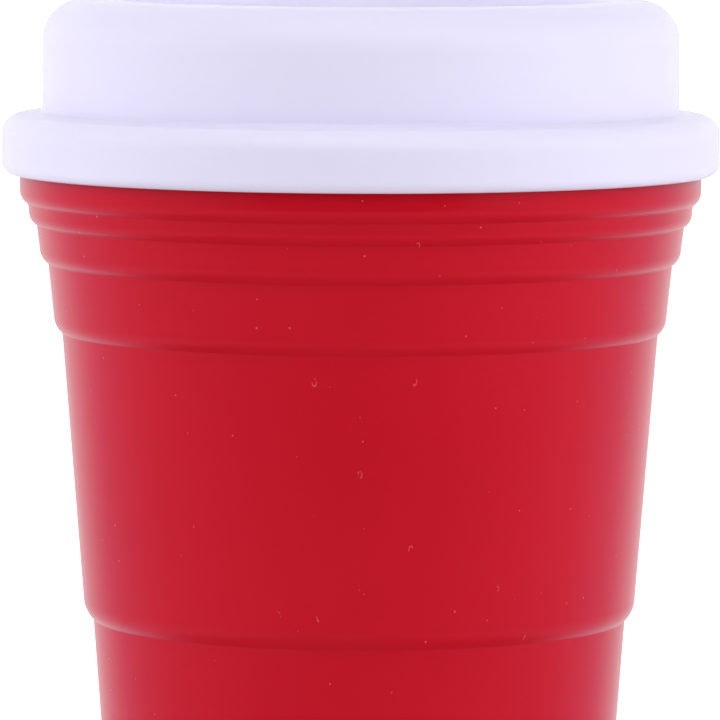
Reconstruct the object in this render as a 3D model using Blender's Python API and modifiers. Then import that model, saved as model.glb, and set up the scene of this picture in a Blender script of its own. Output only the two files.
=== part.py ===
"""Stepped double-wall travel cup with a press-on lid, modelled piece by piece.

Lengths are in millimetres and become metres where a mesh is made. +Z is up, the origin is
the centre of the foot, and the sip opening faces -Y. An outline is a list of (radius, height)
points that starts inside the piece and runs down its outer side.
"""

import math
from collections import namedtuple

import bmesh
import bpy

MM = 0.001
FIT = 0.3  # gap between neighbouring pieces
TURN_STEPS = 48  # facets round a turned piece
SMALL_TURN_STEPS = 24  # facets round the stem, the clip and the vent
CORNER_STEPS = 5  # facets in a block's rounded corner
SHARP_ANGLE = math.radians(32)  # steeper edges than this stay sharp in smooth shading

# Cup
CUP_HEIGHT = 118.0
SHELL_WALL = 1.6
LINER_WALL = 1.5
FLANGE_THICKNESS = 1.6
FLANGE_RADIUS = 46.3
FLANGE_ROUND = 0.5
BRIM_ROUND = 0.8
MOUTH_RADIUS = 41.6
MOUTH_DEPTH = 9.5
FOOT_RADIUS = 32.10
FOOT_ROUND = 1.4
FOOT_INNER_RADIUS = 28.6
FOOT_DRAFT = 0.6  # how much narrower the recess is at its top
BASE_RECESS = 2.0
BASE_THICKNESS = 1.8
SHELL_FILLET = 3.0
SHELL_FLOOR_DRAFT = 0.5
ROLL_BACKING = 0.6  # share of a roll's radius by which the inside starts to turn in before it
LINER_FLOOR = 8.0
LINER_FILLET = 6.0
LINER_DRAFT = 4.0  # degrees between the lower wall and the vertical
LINER_NECK = ((40.3, 104.2), (36.3, 89.5), (31.9, 50.0))  # where the liner's taper changes
LINER_FLOOR_RADIUS = 27.8

# Each band of the outer wall ends in a roll that curls in to the crease above the next band.
Band = namedtuple("Band", "top_radius roll_radius crease_radius crease_height roll")
BANDS = (
    Band(46.55, 46.53, 45.45, 107.15, 2.1),
    Band(45.35, 45.30, 44.20, 104.20, 2.1),
    Band(44.15, 43.85, 42.65, 98.95, 2.6),
    Band(42.60, 41.90, 40.80, 89.50, 2.9),
    Band(40.70, 37.85, 36.50, 50.20, 4.0),
    Band(36.45, 33.85, 32.90, 12.50, 2.8),
)
FOOT_TOP_RADIUS = 32.85

# Lid cover
LID_TOP = 135.0
LID_WALL = 1.9
CREST_RADIUS = 37.9  # where the flat crest ends and the shoulder begins
CREST_WIDTH = 3.6
CREST_ROUND = 0.8
WELL_DRAFT = 1.2  # how much narrower the well is at its foot
WELL_LEAN = 12.0  # degrees by which its wall leans outwards
SHOULDER = 5.5
DOME_RADIUS = 43.45
DECK_TOP = 129.5
DECK_THICKNESS = 1.8
DECK_FILLET = 1.5
LAND_EDGE = (43.9, 119.75)  # where the dome meets the top of the skirt
LAND_FILLET = 0.5
SKIRT_RADIUS = 49.0
SKIRT_SHOULDER = 2.4
SKIRT_SHOULDER_TOP = 119.35
SKIRT_DRAFT = 0.05
SKIRT_ROUND = 2.0
SKIRT_CHAMFER = 0.5
SKIRT_BOTTOM = 111.2
SKIRT_INNER_RADIUS = 46.95

# Lid insert and gasket
INSERT_TOP = 122.0
INSERT_BOTTOM = 110.0
INSERT_WALL = 1.6
INSERT_FILLET = 1.5
INSERT_ROUND = 1.0
PLUG_GAP = 0.4  # between the insert and the mouth of the liner
PLUG_LEAD = (0.4, 0.8)  # chamfer above the gasket
GROOVE_TOP = 117.0
GROOVE_BOTTOM = 111.6
GROOVE_RADIUS = 38.7
GROOVE_LIP_RADIUS = 40.4
FIN_REACH = 1.0  # how far each fin stands out of the gasket's band
FIN_HEIGHT = 1.7
FIN_PITCH = 2.55
FIN_TIP = 0.35  # height of a fin's blunt tip

# Sip opening and slider
SIP_Y = -26.5
SIP_SIZE = (12.0, 5.5)
CHANNEL_WALL = 1.5
VENT_Y = 18.0
VENT_RADIUS = 1.0
VENT_TUBE_RADIUS = 2.4
STEM_Y = -17.5
STEM_RADIUS = 1.8
STEM_END = 123.4
BARB_RADIUS = 2.6
SLIDE_TRAVEL = 11.0
PLATE_SIZE = (19.0, 28.0, 2.2)
PLATE_CORNER = 7.0
PAD_SIZE = (16.0, 9.0, 0.9)
PAD_CORNER = 3.5
PLATE_EDGE = 0.5
THUMB_SIZE = (12.0, 12.0, 1.4)
THUMB_CORNER = 2.5
THUMB_EDGE = 0.4
THUMB_RIBS = 4
THUMB_RIB_SIZE = (10.0, 1.1, 0.7)
THUMB_RIB_CORNER = 0.5
THUMB_RIB_PITCH = 2.7
RAIL_SIZE = (1.4, 30.0, 1.8)
RAIL_CORNER = 0.65
RAIL_GAP = 0.4  # between the plate and each rail
RAIL_LEAD = 4.5  # how far the rails start ahead of the stem
CLIP_RADIUS = 4.0
CLIP_THICKNESS = 1.6

RED = (0.50, 0.006, 0.018, 1.0)
LID_WHITE = (0.84, 0.83, 0.92, 1.0)
LINER_WHITE = (0.86, 0.85, 0.87, 1.0)
SILICONE = (0.72, 0.72, 0.74, 1.0)


def clear_scene():
    for obj in list(bpy.data.objects):
        bpy.data.objects.remove(obj, do_unlink=True)


def new_collection(name):
    collection = bpy.data.collections.new(name)
    bpy.context.scene.collection.children.link(collection)
    return collection


def plastic(name, colour, roughness):
    """A plain Principled material."""
    material = bpy.data.materials.new(name)
    material.use_nodes = True
    shader = material.node_tree.nodes["Principled BSDF"]
    shader.inputs["Base Color"].default_value = colour
    shader.inputs["Roughness"].default_value = roughness
    shader.inputs["Metallic"].default_value = 0.0
    material.diffuse_color = colour
    return material


def arc(centre, radius, start, end, steps):
    """Points on a circle from start to end, in degrees, where 0 points outwards and 90 up."""
    angles = [math.radians(start + (end - start) * i / steps) for i in range(steps + 1)]
    return [(centre[0] + radius * math.cos(a), centre[1] + radius * math.sin(a)) for a in angles]


def bake_modifiers(obj):
    """Put the evaluated mesh in place of the object's own."""
    graph = bpy.context.evaluated_depsgraph_get()
    mesh = bpy.data.meshes.new_from_object(obj.evaluated_get(graph))
    before = obj.data
    obj.modifiers.clear()
    obj.data = mesh
    bpy.data.meshes.remove(before)


def turned(collection, name, outline, closed=False, steps=TURN_STEPS):
    """A solid turned about its own Z axis."""
    mesh = bpy.data.meshes.new(name)
    count = len(outline)
    edges = [(i, (i + 1) % count) for i in range(count if closed else count - 1)]
    mesh.from_pydata([(r * MM, 0.0, z * MM) for r, z in outline], edges, [])
    obj = bpy.data.objects.new(name, mesh)
    collection.objects.link(obj)
    screw = obj.modifiers.new("Turn", "SCREW")
    screw.axis = "Z"
    screw.steps = screw.render_steps = steps
    screw.use_merge_vertices = True
    screw.merge_threshold = 0.00001
    bake_modifiers(obj)
    obj.data.shade_smooth()
    obj.data.set_sharp_from_angle(angle=SHARP_ANGLE)
    return obj


def rounded_block(collection, name, size, centre, corner, edge=0.0):
    """A block with rounded upright corners and, with edge set, a rounded top edge."""
    mesh = bpy.data.meshes.new(name)
    form = bmesh.new()
    bmesh.ops.create_cube(form, size=1.0)
    bmesh.ops.scale(form, vec=[side * MM for side in size], verts=form.verts)
    upright = [e for e in form.edges if abs(e.verts[0].co.z - e.verts[1].co.z) > 0.5 * size[2] * MM]
    bmesh.ops.bevel(
        form, geom=upright, offset=corner * MM, segments=CORNER_STEPS, profile=0.5, affect="EDGES"
    )
    if edge:
        top = [e for e in form.edges if min(v.co.z for v in e.verts) > 0.49 * size[2] * MM]
        bmesh.ops.bevel(form, geom=top, offset=edge * MM, segments=2, profile=0.5, affect="EDGES")
    form.to_mesh(mesh)
    form.free()
    obj = bpy.data.objects.new(name, mesh)
    obj.location = [value * MM for value in centre]
    collection.objects.link(obj)
    mesh.shade_smooth()
    mesh.set_sharp_from_angle(angle=SHARP_ANGLE)
    return obj


def combine(obj, other, operation):
    """A live Boolean; the other object becomes a hidden helper."""
    boolean = obj.modifiers.new(other.name, "BOOLEAN")
    boolean.operation = operation
    boolean.solver = "EXACT"
    boolean.object = other
    other.hide_render = True
    other.display_type = "WIRE"


def empty(collection, name, location):
    obj = bpy.data.objects.new(name, None)
    obj.location = [value * MM for value in location]
    obj.empty_display_size = 10 * MM
    collection.objects.link(obj)
    return obj


def roll(band):
    """The curl from a band's wall in to its crease, from the outside in."""
    turn = math.degrees(math.acos(1.0 - (band.roll_radius - band.crease_radius) / band.roll))
    height = band.crease_height + band.roll * math.sin(math.radians(turn))
    return arc((band.roll_radius - band.roll, height), band.roll, 0, -turn, 4)


def shell_outline():
    top = CUP_HEIGHT - FLANGE_THICKNESS - FIT
    floor = BASE_RECESS + BASE_THICKNESS
    starts = [top] + [band.crease_height for band in BANDS]
    outer = []
    inner = []
    for band, start in zip(BANDS, starts):
        outer += [(band.top_radius, start - FIT)] + roll(band)
        inner += [
            (band.top_radius - SHELL_WALL, start - 2 * FIT),
            (band.roll_radius - SHELL_WALL, band.crease_height + ROLL_BACKING * band.roll),
        ]
    outer[0] = (BANDS[0].top_radius, top)
    inner[0] = (BANDS[0].top_radius - SHELL_WALL, top)
    foot_wall = FOOT_TOP_RADIUS - SHELL_WALL
    inner.append((foot_wall, starts[-1] - 2 * FIT))
    corner = (foot_wall - SHELL_FILLET - SHELL_FLOOR_DRAFT, floor + SHELL_FILLET)
    inner += arc(corner, SHELL_FILLET, 0, -90, 3)
    foot = arc((FOOT_RADIUS - FOOT_ROUND, FOOT_ROUND), FOOT_ROUND, 0, -90, 4)
    outer += [(FOOT_TOP_RADIUS, starts[-1] - FIT)] + foot
    outer.append((FOOT_INNER_RADIUS, 0.0))
    underside = [(FOOT_INNER_RADIUS - FOOT_DRAFT, BASE_RECESS), (0.0, BASE_RECESS)]
    return [(0.0, floor)] + inner[::-1] + outer + underside


def liner_outline():
    inner = [(MOUTH_RADIUS, CUP_HEIGHT - MOUTH_DEPTH)] + list(LINER_NECK)
    outer = [(radius + LINER_WALL, height) for radius, height in inner]
    corner = (LINER_FLOOR_RADIUS - LINER_FILLET, LINER_FLOOR + LINER_FILLET)
    bowl = arc(corner, LINER_FILLET, -LINER_DRAFT, -90, 5)
    hull = arc(corner, LINER_FILLET + LINER_WALL, -LINER_DRAFT, -90, 5)
    under = CUP_HEIGHT - FLANGE_THICKNESS
    brim = (
        arc((MOUTH_RADIUS + BRIM_ROUND, CUP_HEIGHT - BRIM_ROUND), BRIM_ROUND, 180, 90, 3)
        + arc((FLANGE_RADIUS - FLANGE_ROUND, CUP_HEIGHT - FLANGE_ROUND), FLANGE_ROUND, 90, 0, 3)
        + [(FLANGE_RADIUS, under), (MOUTH_RADIUS + LINER_WALL, under)]
    )
    floor = [(0.0, LINER_FLOOR)] + bowl[::-1]
    return floor + inner[::-1] + brim + outer + hull + [(0.0, LINER_FLOOR - LINER_WALL)]


def cover_outline():
    deck_under = DECK_TOP - DECK_THICKNESS
    land_under = CUP_HEIGHT + FIT
    crest_inner = CREST_RADIUS - CREST_WIDTH
    well = crest_inner - WELL_DRAFT
    bore = DOME_RADIUS - LID_WALL
    skirt_top = SKIRT_RADIUS - SKIRT_DRAFT
    skirt_centre = (skirt_top - SKIRT_SHOULDER, SKIRT_SHOULDER_TOP - SKIRT_SHOULDER)
    lip_centre = (SKIRT_RADIUS - SKIRT_ROUND, SKIRT_BOTTOM + SKIRT_ROUND)
    outer = (
        arc((well - DECK_FILLET, DECK_TOP + DECK_FILLET), DECK_FILLET, -90, -WELL_LEAN, 3)
        + arc((crest_inner, LID_TOP - CREST_ROUND), CREST_ROUND, 180 - WELL_LEAN, 90, 3)
        + arc((CREST_RADIUS, LID_TOP - SHOULDER), SHOULDER, 90, 0, 7)
        + [(DOME_RADIUS, LID_TOP - 2 * SHOULDER), (DOME_RADIUS, LAND_EDGE[1] + LAND_FILLET)]
        + [LAND_EDGE]
        + arc(skirt_centre, SKIRT_SHOULDER, 90, 0, 5)
        + arc(lip_centre, SKIRT_ROUND, 0, -80, 4)
    )
    inner = [
        (SKIRT_INNER_RADIUS, SKIRT_BOTTOM + SKIRT_CHAMFER),
        (SKIRT_INNER_RADIUS, land_under - SKIRT_CHAMFER),
        (SKIRT_INNER_RADIUS - SKIRT_CHAMFER, land_under),
        (bore, land_under),
        *arc((CREST_RADIUS, LID_TOP - SHOULDER), SHOULDER - LID_WALL, 0, 90, 4),
        (crest_inner + LID_WALL, LID_TOP - LID_WALL),
        (well + LID_WALL, deck_under),
        (0.0, deck_under),
    ]
    return [(0.0, DECK_TOP)] + outer + inner


def insert_outline():
    bore = DOME_RADIUS - LID_WALL - FIT
    plug = MOUTH_RADIUS - PLUG_GAP
    floor = INSERT_BOTTOM + INSERT_WALL
    inside = GROOVE_RADIUS - INSERT_WALL
    return [
        (0.0, floor),
        *arc((inside - INSERT_FILLET, floor + INSERT_FILLET), INSERT_FILLET, -90, 0, 3),
        (inside, GROOVE_TOP),
        (bore - INSERT_WALL, GROOVE_TOP + INSERT_WALL),
        (bore - INSERT_WALL, INSERT_TOP),
        (bore, INSERT_TOP),
        (plug, GROOVE_TOP + PLUG_LEAD[1]),
        (plug - PLUG_LEAD[0], GROOVE_TOP),
        (GROOVE_RADIUS, GROOVE_TOP),
        (GROOVE_RADIUS, GROOVE_BOTTOM),
        (GROOVE_LIP_RADIUS, GROOVE_BOTTOM),
        *arc((GROOVE_LIP_RADIUS - INSERT_ROUND, INSERT_BOTTOM + INSERT_ROUND), INSERT_ROUND, 0, -90, 3),
        (0.0, INSERT_BOTTOM),
    ]


def gasket_outline():
    """A flat band with two pointed fins that reach for the mouth of the liner."""
    inside = GROOVE_RADIUS + FIT
    tip = MOUTH_RADIUS - FIT
    band = tip - FIN_REACH
    low = GROOVE_BOTTOM + FIT
    high = GROOVE_TOP - FIT
    outline = [(inside, low), (inside, high)]
    for top in (high, high - FIN_PITCH):
        point = top - 0.5 * FIN_HEIGHT
        outline += [(band, top), (tip, point), (tip, point - FIN_TIP), (band, top - FIN_HEIGHT)]
    return outline + [(band, low)]


def build_cup(parts, materials):
    shell = turned(parts, "outer_shell", shell_outline())
    shell.data.materials.append(materials["red_plastic"])
    liner = turned(parts, "inner_liner", liner_outline())
    liner.data.materials.append(materials["liner_plastic"])


def build_cover(parts, helpers, materials):
    cover = turned(parts, "lid_cover", cover_outline())
    middle = DECK_TOP - 0.5 * DECK_THICKNESS
    through = 4 * DECK_THICKNESS
    rail_x = 0.5 * (PLATE_SIZE[0] + RAIL_SIZE[0]) + RAIL_GAP
    rail_y = STEM_Y + 0.5 * RAIL_SIZE[1] - RAIL_LEAD
    for side, name in ((-1, "left_rail"), (1, "right_rail")):
        size = (RAIL_SIZE[0], RAIL_SIZE[1], 2 * RAIL_SIZE[2])
        rail = rounded_block(helpers, name, size, (side * rail_x, rail_y, DECK_TOP), RAIL_CORNER)
        combine(cover, rail, "UNION")
    sip = rounded_block(
        helpers, "sip_cutter", (*SIP_SIZE, through), (0, SIP_Y, middle), 0.49 * SIP_SIZE[1]
    )
    slot_size = (2 * (STEM_RADIUS + FIT), 2 * (STEM_RADIUS + FIT) + SLIDE_TRAVEL, through)
    slot_centre = (0, STEM_Y + 0.5 * SLIDE_TRAVEL, middle)
    slot = rounded_block(helpers, "slot_cutter", slot_size, slot_centre, 0.95 * STEM_RADIUS)
    vent = turned(
        helpers,
        "vent_cutter",
        [(0, through), (VENT_RADIUS, through), (VENT_RADIUS, -through), (0, -through)],
        steps=SMALL_TURN_STEPS,
    )
    vent.location = (0, VENT_Y * MM, middle * MM)
    for cutter in (sip, slot, vent):
        combine(cover, cutter, "DIFFERENCE")
    cover.data.materials.append(materials["lid_plastic"])
    return cover


def build_insert(parts, helpers, materials):
    insert = turned(parts, "lid_insert", insert_outline())
    top = DECK_TOP - DECK_THICKNESS - FIT
    low = INSERT_BOTTOM + 0.5 * INSERT_WALL
    size = (SIP_SIZE[0] + 2 * CHANNEL_WALL, SIP_SIZE[1] + 2 * CHANNEL_WALL, top - low)
    chimney = rounded_block(
        helpers, "drink_channel", size, (0, SIP_Y, 0.5 * (top + low)), 0.49 * size[1]
    )
    tube = turned(
        helpers,
        "vent_tube",
        [(0, top), (VENT_TUBE_RADIUS, top), (VENT_TUBE_RADIUS, low), (0, low)],
        steps=SMALL_TURN_STEPS,
    )
    tube.location = (0, VENT_Y * MM, 0)
    for added in (chimney, tube):
        combine(insert, added, "UNION")
    height = top - INSERT_BOTTOM + 4.0
    centre = (0, SIP_Y, 0.5 * (top + INSERT_BOTTOM))
    channel = rounded_block(
        helpers, "channel_cutter", (*SIP_SIZE, height), centre, 0.49 * SIP_SIZE[1]
    )
    high = top + 2.0
    deep = INSERT_BOTTOM - 2.0
    vent = turned(
        helpers,
        "vent_tube_cutter",
        [(0, high), (VENT_RADIUS, high), (VENT_RADIUS, deep), (0, deep)],
        steps=SMALL_TURN_STEPS,
    )
    vent.location = (0, VENT_Y * MM, 0)
    for cutter in (channel, vent):
        combine(insert, cutter, "DIFFERENCE")
    insert.data.materials.append(materials["lid_plastic"])
    return insert


def build_gasket(parts, materials):
    gasket = turned(parts, "lid_gasket", gasket_outline(), closed=True)
    gasket.data.materials.append(materials["silicone"])
    return gasket


def build_slider(parts, helpers, materials):
    """The slide, its seal and its clip, placed from the stem's axis at the deck."""
    plate_top = FIT + PLATE_SIZE[2]
    centre = (0, 0, FIT + 0.5 * PLATE_SIZE[2])
    slider = rounded_block(parts, "sip_slider", PLATE_SIZE, centre, PLATE_CORNER, edge=PLATE_EDGE)

    thumb_size = (THUMB_SIZE[0], THUMB_SIZE[1], 2 * THUMB_SIZE[2])
    thumb = rounded_block(
        helpers, "thumb_pad", thumb_size, (0, 0, plate_top), THUMB_CORNER, edge=THUMB_EDGE
    )
    added = [thumb]
    for i in range(THUMB_RIBS):
        y = (i - 0.5 * (THUMB_RIBS - 1)) * THUMB_RIB_PITCH
        size = (THUMB_RIB_SIZE[0], THUMB_RIB_SIZE[1], 2 * THUMB_RIB_SIZE[2])
        place = (0, y, plate_top + THUMB_SIZE[2])
        added.append(rounded_block(helpers, f"thumb_rib_{i + 1}", size, place, THUMB_RIB_CORNER))
    root = FIT + 0.75 * PLATE_SIZE[2]
    end = STEM_END - DECK_TOP
    catch = -DECK_THICKNESS - 2 * FIT - CLIP_THICKNESS
    stem = turned(
        helpers,
        "stem",
        [
            (0, root),
            (STEM_RADIUS, root),
            (STEM_RADIUS, catch),
            (BARB_RADIUS, catch - FIT),
            (BARB_RADIUS, catch - 2 * FIT),
            (0.5 * BARB_RADIUS, end),
            (0, end),
        ],
        steps=SMALL_TURN_STEPS,
    )
    added.append(stem)
    for helper in added:
        combine(slider, helper, "UNION")

    pad_y = SIP_Y - STEM_Y
    pad_centre = (0, pad_y, FIT + 0.5 * PAD_SIZE[2])
    seal = rounded_block(parts, "slider_seal", PAD_SIZE, pad_centre, PAD_CORNER)
    room = (PAD_SIZE[0] + 2 * FIT, PAD_SIZE[1] + 2 * FIT, 2 * (PAD_SIZE[2] + FIT))
    pocket = rounded_block(helpers, "pocket_cutter", room, (0, pad_y, FIT), PAD_CORNER + FIT)
    combine(slider, pocket, "DIFFERENCE")

    clip_top = -DECK_THICKNESS - FIT
    bore = STEM_RADIUS + FIT
    clip = turned(
        parts,
        "slider_clip",
        [
            (bore, clip_top - CLIP_THICKNESS),
            (bore, clip_top),
            (CLIP_RADIUS, clip_top),
            (CLIP_RADIUS, clip_top - CLIP_THICKNESS),
        ],
        closed=True,
        steps=SMALL_TURN_STEPS,
    )
    slider.data.materials.append(materials["lid_plastic"])
    seal.data.materials.append(materials["silicone"])
    clip.data.materials.append(materials["lid_plastic"])
    return [slider, seal, clip, *added, pocket]


def main():
    clear_scene()
    parts = new_collection("travel_cup")
    helpers = new_collection("cutters")
    helpers.hide_render = True
    materials = {
        "red_plastic": plastic("red_plastic", RED, 0.18),
        "lid_plastic": plastic("lid_plastic", LID_WHITE, 0.25),
        "liner_plastic": plastic("liner_plastic", LINER_WHITE, 0.28),
        "silicone": plastic("silicone", SILICONE, 0.6),
    }
    build_cup(parts, materials)
    lid_axis = empty(parts, "lid_axis", (0, 0, 0))
    for piece in (
        build_cover(parts, helpers, materials),
        build_insert(parts, helpers, materials),
        build_gasket(parts, materials),
    ):
        piece.parent = lid_axis
    carriage = empty(parts, "slider_carriage", (0, STEM_Y, DECK_TOP))
    carriage.parent = lid_axis
    for piece in build_slider(parts, helpers, materials):
        piece.parent = carriage


main()
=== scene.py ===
"""The looks of a stepped travel cup: fine meshes, finishes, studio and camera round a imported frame.

Outlines are in millimetres and become metres where a mesh is made. An outline is a list of
(radius, height) or (radius, height, fillet) corners that starts inside the piece and runs
down its outer side.
"""

import math
from collections import namedtuple

import bmesh
import bpy
from bpy.props import FloatProperty, FloatVectorProperty, IntProperty, PointerProperty
from mathutils import Matrix, Vector


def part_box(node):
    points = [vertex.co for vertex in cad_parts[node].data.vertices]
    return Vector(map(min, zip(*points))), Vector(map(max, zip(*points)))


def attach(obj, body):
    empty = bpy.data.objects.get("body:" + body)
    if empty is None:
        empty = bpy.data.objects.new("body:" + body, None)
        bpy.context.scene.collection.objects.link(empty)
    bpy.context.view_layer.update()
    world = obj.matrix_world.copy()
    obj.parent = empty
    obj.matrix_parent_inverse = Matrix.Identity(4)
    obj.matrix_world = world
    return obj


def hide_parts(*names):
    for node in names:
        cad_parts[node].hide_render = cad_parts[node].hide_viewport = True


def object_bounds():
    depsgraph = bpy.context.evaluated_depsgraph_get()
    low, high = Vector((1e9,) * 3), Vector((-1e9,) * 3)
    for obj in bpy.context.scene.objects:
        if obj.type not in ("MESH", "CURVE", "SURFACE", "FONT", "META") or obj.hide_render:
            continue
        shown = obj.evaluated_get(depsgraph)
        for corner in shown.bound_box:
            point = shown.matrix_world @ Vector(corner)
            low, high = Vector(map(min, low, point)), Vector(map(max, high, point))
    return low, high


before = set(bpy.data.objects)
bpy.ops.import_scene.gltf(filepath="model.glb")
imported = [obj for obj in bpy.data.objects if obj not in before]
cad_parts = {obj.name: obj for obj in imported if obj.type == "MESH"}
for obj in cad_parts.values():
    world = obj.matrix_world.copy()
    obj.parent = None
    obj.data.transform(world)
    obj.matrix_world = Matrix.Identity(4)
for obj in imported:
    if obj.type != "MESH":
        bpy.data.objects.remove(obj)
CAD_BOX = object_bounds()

bl_info = {
    "name": "Stepped Travel Cup",
    "version": (1, 0, 0),
    "blender": (4, 5, 0),
    "location": "View3D > Sidebar > Travel Cup",
    "description": "Builds a stepped cup with a press-on lid, its finishes and a studio",
    "category": "Add Mesh",
}

MM = 0.001
FIT = 0.3  # gap between neighbouring pieces
ARC_STEP = math.radians(9)  # the most that one facet of a round edge turns
CORNER_STEPS = 10  # facets round a block's upright corner
EDGE_STEPS = 6  # facets over a block's top or bottom edge
SMALL_SEGMENTS = 64  # facets round a small turned piece
SHARP_ANGLE = math.radians(38)
ROOT = 0.5  # how deep a raised detail is sunk in what it stands on
WELD = 0.000002  # distance in metres within which a turned seam closes


def span(node):
    """A node's lowest and highest corners in millimetres."""
    low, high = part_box(node)
    return low / MM, high / MM


SHELL_TOP = span("outer_shell")[1].z
LINER_LOW, LINER_HIGH = span("inner_liner")
COVER_LOW, COVER_HIGH = span("lid_cover")
INSERT_LOW, INSERT_HIGH = span("lid_insert")
GASKET_LOW, GASKET_HIGH = span("lid_gasket")
SLIDE_LOW, SLIDE_HIGH = span("sip_slider")
SEAL_LOW, SEAL_HIGH = span("slider_seal")
CLIP_LOW, CLIP_HIGH = span("slider_clip")

# Shell: each band of its wall ends in a roll that curls in to the crease above the next band.
Band = namedtuple("Band", "top_radius roll_radius crease_radius crease_height roll")
BANDS = (
    Band(46.55, 46.53, 45.45, 107.15, 2.1),
    Band(45.35, 45.30, 44.20, 104.20, 2.1),
    Band(44.15, 43.85, 42.65, 98.95, 2.6),
    Band(42.60, 41.90, 40.80, 89.50, 2.9),
    Band(40.70, 37.85, 36.50, 50.20, 4.0),
    Band(36.45, 33.85, 32.90, 12.50, 2.8),
)
ROLL_STEPS = 9
ROLL_BACKING = 0.6  # share of a roll's radius by which the inside starts to turn in before it
FOOT_TOP_RADIUS = 32.85
FOOT_RADIUS = 32.10
FOOT_ROUND = 1.4
FOOT_INNER = (28.6, 28.0)  # the recess, at the foot and at its top
BASE_RECESS = 2.0
BASE_THICKNESS = 1.8
SHELL_FLOOR_FILLET = 3.0

# Liner
LINER_TAPER = ((41.6, 108.5, 8.0), (40.3, 104.2, 10.0), (36.3, 89.5, 20.0), (31.9, 50.0, 90.0))
LINER_FLOOR = 8.0
LINER_FLOOR_RADIUS = 27.15  # where the wall would meet the floor
LINER_FILLET = 6.0
FLANGE_THICKNESS = 1.6

# Lid cover
CREST_INNER = 34.3
WELL_RADIUS = 33.1
SHOULDER = 5.5
DOME_RADIUS = 43.45
DECK_TOP = 129.5
DECK_THICKNESS = 1.8
LAND_TOP = 119.85
LAND_END = 119.0  # height at which the sloping land would meet the skirt
SKIRT_SHOULDER = 2.6
SKIRT_ROUND = 1.7
SKIRT_INNER = 46.95
RAIL_SIZE = (1.4, 30.0, 1.8)
RAIL_CORNER = 0.65
RAIL_GAP = 0.4
RAIL_LEAD = 4.5  # how far the rails start ahead of the stem

# Openings in the deck
STEM_Y = 0.5 * (CLIP_LOW.y + CLIP_HIGH.y)
SLIDE_TRAVEL = 11.0
SIP_SIZE = (12.0, 5.5)
SIP_CORNER = 2.7
SIP_Y = 0.5 * (SEAL_LOW.y + SEAL_HIGH.y)
VENT_Y = 18.0
VENT_RADIUS = 1.0
VENT_SIZE = (2 * VENT_RADIUS, 2 * VENT_RADIUS)
SMALL_EDGE = 0.25  # rounding at the rim of a small hole
CUTTER_REACH = 2.0  # how far a cutter stands out of what it cuts

# Insert and gasket
INSERT_WALL = 1.6
PLUG_RADIUS = 41.2
GROOVE = (38.7, 111.6, 117.0)  # radius, bottom and top
GROOVE_LIP = 40.4
CHANNEL_WALL = 1.5
CHANNEL_CORNER = 4.2
VENT_TUBE_RADIUS = 2.4
FIN_REACH = 1.0
FIN_HEIGHT = 1.7
FIN_PITCH = 2.55

# Slide
PLATE_THICKNESS = 2.2
PLATE_CORNER = 7.0
PLATE_EDGE = 0.7
THUMB_SIZE = (12.0, 12.0, 1.4)
THUMB_CORNER = 2.5
THUMB_EDGE = 0.5
RIB_SIZE = (10.0, 1.1, 0.7)
RIB_CORNER = 0.55
SEAL_CORNER = 3.5
SEAL_EDGES = (0.25, 0.15)  # bottom and top
STEM_RADIUS = 1.8
BARB_RADIUS = 2.6

# Finishes, in metres
SHEET_RADIUS = 0.042  # of the cylinder that the shell's pattern is rolled round
LID_SHEET_RADIUS = 0.045

# Studio, in metres. A softbox has a name, its place round the cup from the front, its height, its
# side, and whether reflections show it.
SOFTBOXES = (
    ("left", math.radians(-74), math.radians(22), 1.2, False),
    ("right", math.radians(62), math.radians(22), 1.2, False),
    ("top", math.radians(0), math.radians(50), 1.4, True),
)
LIGHT_DISTANCE = 1.3
FLOOR_HALF = 12.0
FLOOR_DROP = 0.0001
CAMERA_SENSOR = 36.0
CAMERA_RANGE = (0.05, 100.0)

# Light in the room. Each stop is a share of the way from its front to its back, and the colour
# that a reflection finds there.
ROOM_GLOW = 1.02
LIGHT_FROM_BELOW = 1.25
LIGHT_IN_FRONT = 0.24
UNDERSIDE_REFLECTION = 0.04
ROOM_STOPS = (
    (0.0, (0.06, 0.05, 0.07)),
    (0.25, (0.22, 0.19, 0.28)),
    (0.5, (0.37, 0.31, 0.47)),
    (0.78, (0.6, 0.5, 0.75)),
    (0.93, (0.92, 0.88, 0.97)),
    (1.0, (1.0, 1.0, 1.0)),
)


class CupSizes(bpy.types.PropertyGroup):
    """Wall thicknesses, edges and counts of the cup's pieces."""

    shell_wall: FloatProperty(
        name="Shell Wall",
        description="Thickness of the red shell",
        default=1.6 * MM,
        unit="LENGTH",
        precision=4,
    )
    liner_wall: FloatProperty(
        name="Liner Wall",
        description="Thickness of the liner",
        default=1.5 * MM,
        unit="LENGTH",
        precision=4,
    )
    lid_wall: FloatProperty(
        name="Lid Wall",
        description="Thickness of the lid's cover",
        default=1.9 * MM,
        unit="LENGTH",
        precision=4,
    )
    crease: FloatProperty(
        name="Crease",
        description="Fillet in the crease under each roll",
        default=0.25 * MM,
        unit="LENGTH",
        precision=4,
    )
    segments: IntProperty(
        name="Segments",
        description="Facets round a large turned piece",
        default=256,
        min=48,
        max=512,
    )
    ribs: IntProperty(
        name="Grip Ribs",
        description="Ribs on the slide's thumb pad",
        default=4,
        min=1,
        max=5,
    )
    rib_pitch: FloatProperty(
        name="Rib Pitch",
        description="Distance from rib to rib",
        default=2.7 * MM,
        unit="LENGTH",
        precision=4,
    )


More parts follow.
